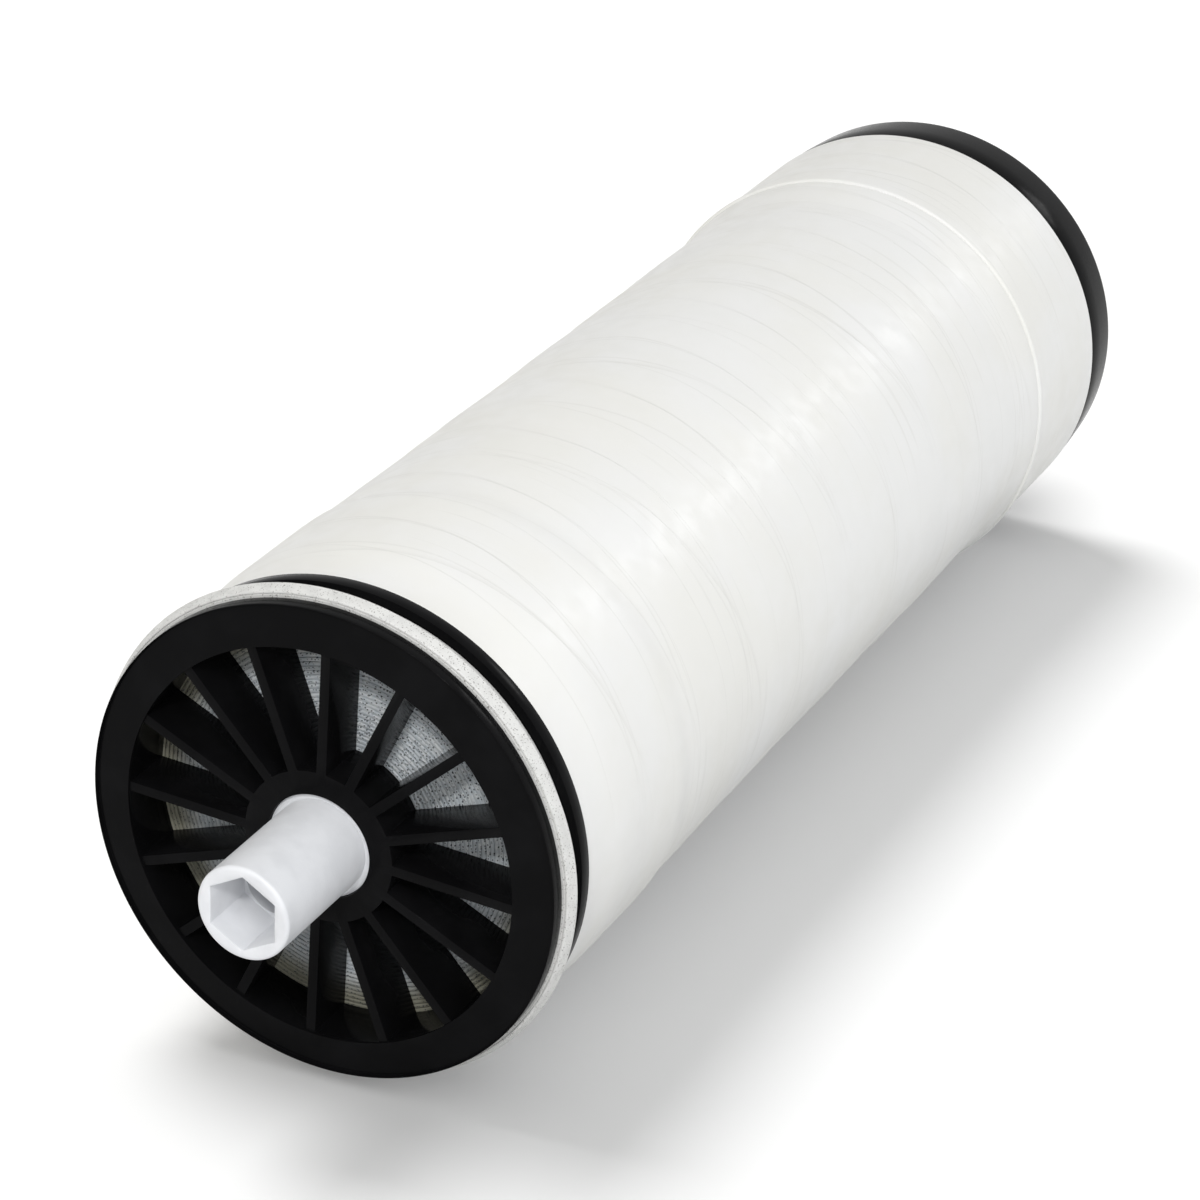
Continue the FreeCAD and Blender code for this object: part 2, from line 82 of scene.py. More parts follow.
class Slot(Enum):
    """Material slots of the record."""

    TUBE = "tube_plastic"
    MEMBRANE = "membrane"
    TAPE = "tape"
    CAP = "cap_plastic"
    SEAL = "seal_rubber"


class End(Enum):
    """Ends of the element; the value is the direction along the axis that leads into it."""

    FEED = 1
    BRINE = -1


# ---- modelling bench ----


def clear_selection() -> None:
    """Leave edit mode and deselect every object."""
    if bpy.context.object and bpy.context.object.mode != "OBJECT":
        bpy.ops.object.mode_set(mode="OBJECT")
    bpy.ops.object.select_all(action="DESELECT")


def activate(piece: bpy.types.Object) -> None:
    """Make one object the only selected and active one.

    Args:
        piece: The object to work on.
    """
    clear_selection()
    piece.select_set(True)
    bpy.context.view_layer.objects.active = piece


def angle_of(x: float, z: float) -> float:
    """Angle about the tube's axis, clockwise from straight up, seen from the feed end."""
    return math.atan2(x, z)


def smooth_step(value: float, low: float, high: float) -> float:
    """Rise smoothly from 0 at low to 1 at high.

    Args:
        value: Where the step is read.
        low: Start of the rise.
        high: End of the rise.

    Returns:
        A share from 0 to 1.
    """
    share = min(1.0, max(0.0, (value - low) / (high - low)))
    return share * share * (3.0 - 2.0 * share)


def start_ring(name: str, angles: list[float], station: float, radius: float) -> bpy.types.Object:
    """Add a circle round the tube's axis, with its points at given angles, and open it for editing.

    Args:
        name: Name of the new piece.
        angles: Angles of the points, rising, over one turn.
        station: Distance of the circle along the axis, in metres.
        radius: Radius of the circle, in metres.

    Returns:
        The new object, in edit mode, with the whole circle selected.
    """
    clear_selection()
    bpy.ops.mesh.primitive_circle_add(
        vertices=len(angles), radius=radius, location=(0, station, 0), rotation=(math.pi / 2, 0, 0)
    )
    piece = bpy.context.object
    piece.name = piece.data.name = name
    bpy.ops.object.transform_apply(location=True, rotation=True, scale=True)
    ordered = sorted(piece.data.vertices, key=lambda v: angle_of(v.co.x, v.co.z) % math.tau)
    for vertex, angle in zip(ordered, angles):
        vertex.co = (radius * math.sin(angle), station, radius * math.cos(angle))
    bpy.ops.object.mode_set(mode="EDIT")
    bpy.ops.mesh.select_all(action="SELECT")
    return piece


def even_angles(count: int, phase: float = 0.0) -> list[float]:
    """Evenly spread angles over one turn.

    Args:
        count: Number of points.
        phase: Angle of the first point, in radians.

    Returns:
        The angles, rising.
    """
    return [phase + math.tau * index / count for index in range(count)]


def draw_ring(start: tuple[float, float], section: list[tuple[float, float]]) -> None:
    """Extrude the selected ring through the corners of a section, scaling it about the axis.

    Args:
        start: Station and radius of the ring as it is, in metres.
        section: Station and radius of each further corner.
    """
    station, radius = start
    for next_station, next_radius in section:
        bpy.ops.mesh.extrude_region_move(
            TRANSFORM_OT_translate={"value": (0, next_station - station, 0)}
        )
        if abs(next_radius - radius) > 1e-9:
            scale = next_radius / radius
            bpy.ops.transform.resize(
                value=(scale, 1, scale), center_override=(0, next_station, 0)
            )
        station, radius = next_station, next_radius


def close_mesh() -> None:
    """Merge the doubles of the mesh in edit mode and point its faces outwards."""
    bpy.ops.mesh.select_all(action="SELECT")
    bpy.ops.mesh.remove_doubles(threshold=1e-6)
    bpy.ops.mesh.normals_make_consistent(inside=False)


def turn_piece(
    name: str, section: list[tuple[float, float]], segments: int, phase: float = 0.0
) -> bpy.types.Object:
    """Turn a closed section about the tube's axis.

    Args:
        name: Name of the new piece.
        section: Corners of the closed section, each a station and a radius in metres.
        segments: Sides of the turned shape.
        phase: Angle of its first point, in radians.

    Returns:
        The new object, in edit mode.
    """
    piece = start_ring(name, even_angles(segments, phase), *section[0])
    draw_ring(section[0], section[1:] + section[:1])
    close_mesh()
    return piece


def rounded(
    section: list[tuple[float, float]], radii: dict[int, float], steps: int
) -> list[tuple[float, float]]:
    """Round some corners of a closed section.

    Args:
        section: Corners of the section.
        radii: Length cut back from each rounded corner, by its place in the section.
        steps: Points of each rounding.

    Returns:
        The section with its roundings.
    """
    result = []
    count = len(section)
    for index, corner in enumerate(section):
        if index not in radii:
            result.append(corner)
            continue
        here = Vector(corner)
        before = (Vector(section[index - 1]) - here).normalized() * radii[index]
        after = (Vector(section[(index + 1) % count]) - here).normalized() * radii[index]
        for step in range(steps + 1):
            share = step / steps
            point = here + before * (1 - share) ** 2 + after * share**2
            result.append((point.x, point.y))
    return result


def bevel_edges(piece: bpy.types.Object, width: float, segments: int, angle: float) -> None:
    """Round every edge sharper than an angle, with a modifier that is applied.

    Args:
        piece: The object to round.
        width: Width of the rounding, in metres.
        segments: Facets of the rounding.
        angle: Angle from which an edge counts as sharp, in degrees.
    """
    activate(piece)
    bevel = piece.modifiers.new("rounded_edges", "BEVEL")
    bevel.width = width
    bevel.segments = segments
    bevel.limit_method = "ANGLE"
    bevel.angle_limit = math.radians(angle)
    bevel.use_clamp_overlap = True
    bpy.ops.object.modifier_apply(modifier=bevel.name)


def smooth_piece(piece: bpy.types.Object, angle: float = 32.0) -> None:
    """Shade a piece smooth, with edges sharper than an angle kept crisp.

    Args:
        piece: The object to shade.
        angle: Angle of a crisp edge, in degrees.
    """
    activate(piece)
    bpy.ops.object.shade_smooth_by_angle(angle=math.radians(angle))
    clear_selection()


def boolean_cut(piece: bpy.types.Object, cutter: bpy.types.Object) -> None:
    """Cut one piece with another and remove the cutter.

    Args:
        piece: The object that is cut.
        cutter: The object that cuts it.
    """
    activate(piece)
    cut = piece.modifiers.new("cut", "BOOLEAN")
    cut.operation = "DIFFERENCE"
    cut.solver = "EXACT"
    cut.object = cutter
    bpy.ops.object.modifier_apply(modifier=cut.name)
    bpy.data.objects.remove(cutter)


def hand_over(piece: bpy.types.Object, node: str, finish: bpy.types.Material) -> None:
    """Give a finished piece its material and its body, and hide the CAD node it stands for.

    Args:
        piece: The finished object.
        node: CAD node that the piece stands for.
        finish: Material of the whole piece.
    """
    piece.data.materials.clear()
    piece.data.materials.append(finish)
    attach(piece, BODY)
    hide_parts(node)
    piece.data.calc_loop_triangles()
    log.info("%s: %d triangles", piece.name, len(piece.data.loop_triangles))


# ---- finishes ----


class Shader:
    """Node graph of one material, with short calls for the nodes that the finishes share."""

    def __init__(self, name: str) -> None:
        """Start an empty graph with a surface shader and an output.

        Args:
            name: Name of the material.
        """
        self.material = bpy.data.materials.new(name)
        self.material.use_nodes = True
        self.tree = self.material.node_tree
        self.tree.nodes.clear()
        output = self.tree.nodes.new("ShaderNodeOutputMaterial")
        self.surface = self.tree.nodes.new("ShaderNodeBsdfPrincipled")
        self.tree.links.new(self.surface.outputs["BSDF"], output.inputs["Surface"])
        self.place = self.tree.nodes.new("ShaderNodeTexCoord").outputs["Object"]

    def feed(self, socket: Socket, value: Feed) -> None:
        """Link a socket to another one, or set its value.

        Args:
            socket: Input that is fed.
            value: Output socket, number or tuple.
        """
        if isinstance(value, bpy.types.NodeSocket):
            self.tree.links.new(value, socket)
        elif isinstance(value, tuple) and len(value) == 3 and socket.type == "RGBA":
            socket.default_value = (*value, 1.0)
        else:
            socket.default_value = value

    def set(self, **values: Feed) -> None:
        """Set sockets of the surface shader.

        Args:
            **values: What each socket gets, by its name with _ for a space.
        """
        for name, value in values.items():
            self.feed(self.surface.inputs[name.replace("_", " ")], value)

    def math(self, operation: str, first: Feed, second: Feed = 0.0, clamp: bool = False) -> Socket:
        """Add a Math node.

        Args:
            operation: Name of the operation.
            first: First value.
            second: Second value.
            clamp: Whether the result stays between 0 and 1.

        Returns:
            The node's output.
        """
        node = self.tree.nodes.new("ShaderNodeMath")
        node.operation = operation
        node.use_clamp = clamp
        self.feed(node.inputs[0], first)
        self.feed(node.inputs[1], second)
        return node.outputs[0]

    def split(self, vector: Socket) -> tuple[Socket, ...]:
        """Take a vector apart.

        Args:
            vector: The vector.

        Returns:
            Its three parts.
        """
        node = self.tree.nodes.new("ShaderNodeSeparateXYZ")
        self.feed(node.inputs[0], vector)
        return tuple(node.outputs)

    def join(self, x: Feed, y: Feed, z: Feed) -> Socket:
        """Put a vector together.

        Args:
            x: First part.
            y: Second part.
            z: Third part.

        Returns:
            The vector.
        """
        node = self.tree.nodes.new("ShaderNodeCombineXYZ")
        for socket, value in zip(node.inputs, (x, y, z)):
            self.feed(socket, value)
        return node.outputs[0]

    def noise(self, vector: Socket, scale: float, detail: float = 2.0) -> Socket:
        """Add a Noise node.

        Args:
            vector: Where the noise is read.
            scale: Its features per metre.
            detail: Its finer layers.

        Returns:
            The noise, about 0.5 on average.
        """
        node = self.tree.nodes.new("ShaderNodeTexNoise")
        self.feed(node.inputs["Vector"], vector)
        node.inputs["Scale"].default_value = scale
        node.inputs["Detail"].default_value = detail
        node.inputs["Roughness"].default_value = 0.5
        return node.outputs["Fac"]

    def chance(self, cell: Socket) -> tuple[Socket, ...]:
        """Draw three even chances for a cell.

        Args:
            cell: Numbers of the cell.

        Returns:
            Three values from 0 to 1, the same all over the cell.
        """
        node = self.tree.nodes.new("ShaderNodeTexWhiteNoise")
        node.noise_dimensions = "3D"
        self.feed(node.inputs["Vector"], cell)
        return self.split(node.outputs["Color"])

    def fade(self, value: Feed, low: float, high: float, start: float = 0.0, end: float = 1.0) -> Socket:
        """Map a range of a value onto another range, smoothly and clamped.

        Args:
            value: The value.
            low: Where the range starts.
            high: Where the range ends.
            start: Result at the start.
            end: Result at the end.

        Returns:
            The mapped value.
        """
        node = self.tree.nodes.new("ShaderNodeMapRange")
        node.interpolation_type = "SMOOTHSTEP"
        self.feed(node.inputs["Value"], value)
        for name, number in zip(("From Min", "From Max", "To Min", "To Max"), (low, high, start, end)):
            node.inputs[name].default_value = number
        return node.outputs["Result"]

    def mix(self, share: Feed, first: Feed, second: Feed) -> Socket:
        """Mix two colours.

        Args:
            share: Share of the second colour, from 0 to 1.
            first: First colour.
            second: Second colour.

        Returns:
            The mixed colour.
        """
        node = self.tree.nodes.new("ShaderNodeMix")
        node.data_type = "RGBA"
        self.feed(node.inputs["Factor"], share)
        for socket, value in zip([s for s in node.inputs if s.type == "RGBA"], (first, second)):
            self.feed(socket, value)
        return next(s for s in node.outputs if s.type == "RGBA")

    def polar(self) -> tuple[Socket, Socket, Socket]:
        """Read the place of a point round the tube's axis.

        Returns:
            The turn from -0.5 to 0.5 about the axis, the station and the radius.
        """
        x, y, z = self.split(self.place)
        turn = self.math("DIVIDE", self.math("ARCTAN2", x, z), math.tau)
        square = self.math("ADD", self.math("MULTIPLY", x, x), self.math("MULTIPLY", z, z))
        return turn, y, self.math("SQRT", square)

    def bump(self, height: Socket, distance: float, strength: float = 1.0) -> None:
        """Raise the surface, on top of what raises it already.

        Args:
            height: Height, 1 being the whole distance.
            distance: Height of 1, in metres.
            strength: Share of the effect.
        """
        node = self.tree.nodes.new("ShaderNodeBump")
        node.inputs["Strength"].default_value = strength
        node.inputs["Distance"].default_value = distance
        self.feed(node.inputs["Height"], height)
        if self.surface.inputs["Normal"].is_linked:
            source = self.surface.inputs["Normal"].links[0].from_socket
            self.tree.links.new(source, node.inputs["Normal"])
        self.tree.links.new(node.outputs[0], self.surface.inputs["Normal"])


@dataclass(frozen=True)
class WhitePlastic:
    """Turned and moulded white plastic of the permeate tube."""

    colour: Colour = (0.74, 0.75, 0.775)
    shade: Colour = (0.68, 0.69, 0.715)
    roughness: float = 0.34

    def make(self) -> bpy.types.Material:
        """Return the material."""
        shader = Shader("white_plastic")
        cloud = shader.noise(shader.place, 160.0, 3.0)
        shader.set(Base_Color=shader.mix(shader.fade(cloud, 0.35, 0.7), self.colour, self.shade))
        scuff = shader.noise(shader.place, 900.0, 2.0)
        shader.set(Roughness=shader.fade(scuff, 0.3, 0.75, self.roughness - 0.05, self.roughness + 0.09))
        turn, station, _ = shader.polar()
        marks = shader.noise(shader.join(shader.math("MULTIPLY", turn, 0.01), station, 0.0), 2600.0, 2.0)
        shader.bump(marks, 0.00002, 0.5)
        return shader.material


@dataclass(frozen=True)
class BlackPlastic:
    """Glossy black moulding of the end caps."""

    colour: Colour = (0.0035, 0.0035, 0.0038)
    haze: Colour = (0.0055, 0.0055, 0.006)
    roughness: float = 0.17

    def make(self) -> bpy.types.Material:
        """Return the material."""
        shader = Shader("black_plastic")
        cloud = shader.noise(shader.place, 90.0, 4.0)
        shader.set(Base_Color=shader.mix(shader.fade(cloud, 0.4, 0.75), self.colour, self.haze))
        grain = shader.noise(shader.place, 1400.0, 2.0)
        shader.set(Roughness=shader.fade(grain, 0.3, 0.75, self.roughness - 0.03, self.roughness + 0.07))
        shader.set(Specular_IOR_Level=0.035)
        shader.bump(grain, 0.00001, 0.6)
        return shader.material


@dataclass(frozen=True)
class PaleRubber:
    """Pale grey rubber of the brine seal, with fine dark specks of dust."""

    colour: Colour = (0.66, 0.66, 0.645)
    speck: Colour = (0.22, 0.21, 0.2)
    roughness: float = 0.42

    def make(self) -> bpy.types.Material:
        """Return the material."""
        shader = Shader("pale_rubber")
        cloud = shader.noise(shader.place, 420.0, 3.0)
        base = shader.mix(shader.fade(cloud, 0.35, 0.7), self.colour, tuple(0.9 * c for c in self.colour))
        dots = shader.noise(shader.place, 3400.0, 1.0)
        shader.set(Base_Color=shader.mix(shader.fade(dots, 0.63, 0.7), base, self.speck))
        shader.set(Roughness=shader.fade(cloud, 0.3, 0.7, self.roughness - 0.06, self.roughness + 0.1))
        shader.bump(dots, 0.00003, 0.35)
        return shader.material


@dataclass(frozen=True)
class LeafEdges:
    """Cut edges of the rolled membrane leaves, with the dark strands of the spacers between them."""

    colour: Colour = (0.60, 0.645, 0.68)
    pale: Colour = (0.74, 0.765, 0.78)
    strand: Colour = (0.045, 0.055, 0.065)
    # Dark olive of the glue, deepened into painted shade of the cap's rim over the roll's outer turns.
    glue_and_rim_shade: Colour = (0.19, 0.17, 0.09)
    pitch: float = 0.905 * MM
    strand_pitch: float = 0.95 * MM
    strand_length: float = 0.34 * MM
    strand_width: float = 0.24 * MM
    glue_and_rim_shade_radius: float = 33.0 * MM
    roughness: float = 0.5

    def strands(self, shader: Shader, turn: Socket, layer: Socket, across: Socket, seed: float) -> Socket:
        """Scatter the cut ends of one spacer's strands, about one to a cell along each layer.

        Args:
            shader: Graph that the nodes join.
            turn: Turn about the axis.
            layer: Number of the layer that a point is in.
            across: Place across the layer, from -0.5 to 0.5.
            seed: Number that sets one scatter apart from another.

        Returns:
            The mark of a strand's end, from 0 to 1.
        """
        cells = math.tau * self.pitch / self.strand_pitch
        run = shader.math("MULTIPLY", shader.math("MULTIPLY", turn, layer), cells)
        run = shader.math("ADD", run, 400.5 + seed * 0.013)
        chance = shader.chance(shader.join(shader.math("FLOOR", run), layer, seed))
        middle = shader.math("ADD", shader.math("MULTIPLY", chance[0], 0.5), 0.25)
        offset = shader.math("SUBTRACT", shader.math("MULTIPLY", chance[1], 0.5), 0.25)
        along = shader.math("SUBTRACT", shader.math("FRACT", run), middle)
        aside = shader.math("SUBTRACT", across, offset)
        along = shader.math("DIVIDE", along, 0.5 * self.strand_length / self.strand_pitch)
        aside = shader.math("DIVIDE", aside, 0.5 * self.strand_width / self.pitch)
        along_square = shader.math("MULTIPLY", along, along)
        square = shader.math("ADD", along_square, shader.math("MULTIPLY", aside, aside))
        dot = shader.fade(square, 0.5, 1.5, 1.0, 0.0)
        return shader.math("MULTIPLY", dot, shader.fade(chance[2], 0.2, 0.75))

    def make(self) -> bpy.types.Material:
        """Return the material."""
        shader = Shader("leaf_edges")
        turn, _, radius = shader.polar()
        row = shader.math("SUBTRACT", shader.math("DIVIDE", radius, self.pitch), turn)
        layer = shader.math("FLOOR", row)
        across = shader.math("SUBTRACT", shader.math("FRACT", row), 0.5)
        few, more = (self.strands(shader, turn, layer, across, seed) for seed in (0.0, 37.0))
        mark = shader.math("MAXIMUM", few, more)
        tone = shader.noise(shader.place, 700.0, 3.0)
        base = shader.mix(shader.fade(tone, 0.35, 0.68), self.colour, self.pale)
        # Painted shade with a glue tint: the face darkens to olive from this radius outwards, where the
        # cap's rim shades the roll.
        glue_and_shade_wander = shader.noise(shader.place, 120.0, 2.0)
        edge = shader.math("ADD", radius, shader.math("MULTIPLY", glue_and_shade_wander, 2.0 * MM))
        glue_and_shade_share = shader.fade(edge, self.glue_and_rim_shade_radius, self.glue_and_rim_shade_radius + 7.0 * MM, 0.0, 0.8)
        glue_and_shaded = shader.mix(glue_and_shade_share, base, self.glue_and_rim_shade)
        shader.set(Base_Color=shader.mix(mark, glue_and_shaded, self.strand))
        shader.set(Roughness=shader.fade(tone, 0.3, 0.7, self.roughness - 0.1, self.roughness + 0.1))
        shader.bump(tone, 0.00008, 0.5)
        return shader.material


@dataclass(frozen=True)
class WoundTape:
    """Off-white tape: faint crossing laps, each edge a thin line of painted shade at its step, and creases
    darkened as painted shade.
    """

    colour: Colour = (0.785, 0.785, 0.775)
    warm: Colour = (0.77, 0.765, 0.735)
    # Colour of the painted shade along the laps' edges and in the creases.
    line: Colour = (0.66, 0.655, 0.63)
    roughness: float = 0.4

    def laps(
        self, shader: Shader, pitch: float, turns: int, wobble: float, shift: float
    ) -> tuple[Socket, Socket]:
        """Lines of one winding: how far a point lies into its lap, and the mark of the lap's edge, where
        painted shade goes.

        Args:
            shader: Graph that the nodes join.
            pitch: Width of one lap along the axis, in metres.
            turns: Laps that the winding climbs in one turn; negative for the other hand.
            wobble: How far its edges wander, in laps.
            shift: Where its first edge lies, in laps.

        Returns:
            The share of the lap behind the point, and the edge's mark from 0 to 1.
        """
        turn, station, _ = shader.polar()
        wander = shader.math("MULTIPLY", shader.noise(shader.place, 14.0, 2.0), wobble)
        laps_in = shader.math("DIVIDE", station, pitch)
        climb = shader.math("ADD", laps_in, shader.math("MULTIPLY", turn, float(turns)))
        share = shader.math("FRACT", shader.math("ADD", shader.math("ADD", climb, wander), shift + 40.0))
        mark = shader.fade(share, 0.0, 0.03, 1.0, 0.0)
        return share, mark

    def make(self) -> bpy.types.Material:
        """Return the material."""
        shader = Shader("wound_tape")
        cloud = shader.noise(shader.place, 30.0, 4.0)
        base = shader.mix(shader.fade(cloud, 0.35, 0.68), self.colour, self.warm)
        height = None
        patchy = shader.fade(shader.noise(shader.place, 22.0, 2.0), 0.42, 0.6)
        windings = (
            (25.4 * MM, 1, 0.35, 0.1),
            (25.4 * MM, -1, 0.3, 0.55),
            (12.7 * MM, 1, 0.6, 0.3),
            (50.8 * MM, -1, 0.2, 0.8),
        )
        for pitch, turns, wobble, shift in windings:
            share, mark = self.laps(shader, pitch, turns, wobble, shift)
            # Painted shade: a faint darker line along each lap's edge, where the tape steps.
            faint = shader.math("MULTIPLY", shader.math("MULTIPLY", mark, patchy), 0.4)
            base = shader.mix(faint, base, self.line)
            height = share if height is None else shader.math("ADD", height, share)
        turn, station, _ = shader.polar()
        crowded = shader.math("MULTIPLY", station, 620.0)
        stretched = shader.join(shader.math("MULTIPLY", turn, 5.0), crowded, 0.0)
        crease = shader.noise(stretched, 1.0, 2.0)
        where = shader.fade(shader.noise(shader.place, 34.0, 2.0), 0.45, 0.62)
        creased = shader.math("MULTIPLY", shader.fade(crease, 0.62, 0.68), where)
        # Painted shade: the creases, over patches of the tape, are darkened towards the line colour.
        base = shader.mix(shader.math("MULTIPLY", creased, 0.3), base, self.line)
        shader.set(Base_Color=base)
        scuff = shader.noise(shader.place, 240.0, 3.0)
        shader.set(Roughness=shader.fade(scuff, 0.3, 0.72, self.roughness - 0.07, self.roughness + 0.1))
        shader.bump(height, 0.00007, 0.8)
        shader.bump(shader.noise(shader.place, 75.0, 3.0), 0.0003, 0.35)
        return shader.material


# ---- the permeate tube ----


@dataclass
class PermeateTube:
    """Central tube with turned ends, shoulders and a hexagonal drive socket in each mouth."""

    node: str = "permeate_tube"
    tip_radius: float = 9.525 * MM
    body_radius: float = 10.7 * MM
    bore_radius: float = 6.4 * MM
    flats: float = 13.35 * MM
    socket_depth: float = 12.2 * MM
    phase: float = math.radians(2.7)
    shoulder: float = 28.2 * MM
    tip_round: float = 0.9 * MM
    hole_radius: float = 1.6 * MM
    hole_pitch: float = 80.0 * MM
    sides: int = 96
    mouths: tuple[float, float] = (0.0, 0.0)
    lip: float = 0.12 * MM
    lead_in: float = 0.18 * MM

    def __post_init__(self) -> None:
        """Read where the tube starts and ends."""
        low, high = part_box(self.node)
        self.mouths = (low[1], high[1])

    def hexagon(self, angle: float) -> float:
        """Return the distance from the axis to the socket's wall at an angle."""
        part = (angle - self.phase) % (math.pi / 3) - math.pi / 6
        return self.flats / 2 / math.cos(part)

    def shape_hexagon(self, piece: bpy.types.Object) -> None:
        """Move the selected ring of points onto the socket's hexagon.

        Args:
            piece: The tube, in edit mode.
        """
        mesh = bmesh.from_edit_mesh(piece.data)
        for vertex in (v for v in mesh.verts if v.select):
            angle = angle_of(vertex.co.x, vertex.co.z)
            radius = self.hexagon(angle)
            vertex.co.x, vertex.co.z = radius * math.sin(angle), radius * math.cos(angle)
        bmesh.update_edit_mesh(piece.data)

    def mouth(self, piece: bpy.types.Object, station: float, into: float) -> None:
        """Extrude a rounded tip, its flat face and the socket down to the bore.

        Args:
            piece: The tube, in edit mode, with the ring where the tip's rounding starts selected.
            station: Station of the mouth.
            into: Direction along the axis that leads into the tube, 1 or -1.
        """
        tip, cut = self.tip_radius, self.tip_round
        start = (station + into * cut, tip)
        arc = []
        for step in range(1, 7):
            turn = math.pi / 2 * step / 6
            arc.append((station + into * cut * (1 - math.sin(turn)), tip - cut * (1 - math.cos(turn))))
        draw_ring(start, arc)
        corner = self.flats / math.sqrt(3)
        face = (station, corner + self.lip)
        draw_ring(arc[-1], [face])
        draw_ring(face, [(station + into * self.lead_in, corner)])
        self.shape_hexagon(piece)
        depth = into * (self.socket_depth - self.lead_in)
        bpy.ops.mesh.extrude_region_move(TRANSFORM_OT_translate={"value": (0, depth, 0)})
        bpy.ops.mesh.extrude_region_move()
        mesh = bmesh.from_edit_mesh(piece.data)
        for vertex in (v for v in mesh.verts if v.select):
            angle = angle_of(vertex.co.x, vertex.co.z)
            vertex.co.x, vertex.co.z = self.bore_radius * math.sin(angle), self.bore_radius * math.cos(angle)
        bmesh.update_edit_mesh(piece.data)

    def build(self, finish: bpy.types.Material) -> None:
        """Build the tube from its middle out to one mouth, through the bore and back over the other.

        Args:
            finish: Material of the tube.
        """
        near, far = self.mouths
        angles = even_angles(self.sides, self.phase)
        piece = start_ring("white_permeate_tube", angles, far - self.shoulder, self.body_radius)
        tip, cut = self.tip_radius, self.tip_round
        draw_ring(
            (far - self.shoulder, self.body_radius),
            [(near + self.shoulder, self.body_radius), (near + self.shoulder, tip), (near + cut, tip)],
        )
        self.mouth(piece, near, 1.0)
        rest = far - near - 2 * self.socket_depth
        bpy.ops.mesh.extrude_region_move(TRANSFORM_OT_translate={"value": (0, rest, 0)})
        bpy.ops.object.mode_set(mode="OBJECT")
        other = self.far_end()
        activate(piece)
        other.select_set(True)
        bpy.ops.object.join()
        bpy.ops.object.mode_set(mode="EDIT")
        close_mesh()
        bpy.ops.object.mode_set(mode="OBJECT")
        self.drill(piece)
        bevel_edges(piece, 0.12 * MM, 2, 50)
        smooth_piece(piece)
        hand_over(piece, self.node, finish)

    def far_end(self) -> bpy.types.Object:
        """Build the outside and the socket of the brine end, up to the bore.

        Returns:
            The open shell, which meets the tube's two open rings.
        """
        far = self.mouths[1]
        angles = even_angles(self.sides, self.phase)
        piece = start_ring("far_end", angles, far - self.shoulder, self.body_radius)
        tip, cut = self.tip_radius, self.tip_round
        draw_ring((far - self.shoulder, self.body_radius), [(far - self.shoulder, tip), (far - cut, tip)])
        self.mouth(piece, far, -1.0)
        bpy.ops.object.mode_set(mode="OBJECT")
        return piece

    def drill(self, piece: bpy.types.Object) -> None:
        """Drill the rows of permeate holes through the tube's wall.

        Args:
            piece: The closed tube.
        """
        middle = sum(self.mouths) / 2
        for index in range(6):
            upright = index % 2 == 0
            station = middle + (index / 2 - 1.0) * self.hole_pitch
            clear_selection()
            turn = (0, 0, 0) if upright else (0, math.pi / 2, 0)
            bpy.ops.mesh.primitive_cylinder_add(
                vertices=24, radius=self.hole_radius, depth=30 * MM, location=(0, station, 0), rotation=turn
            )
            boolean_cut(piece, bpy.context.object)


# ---- the end caps ----


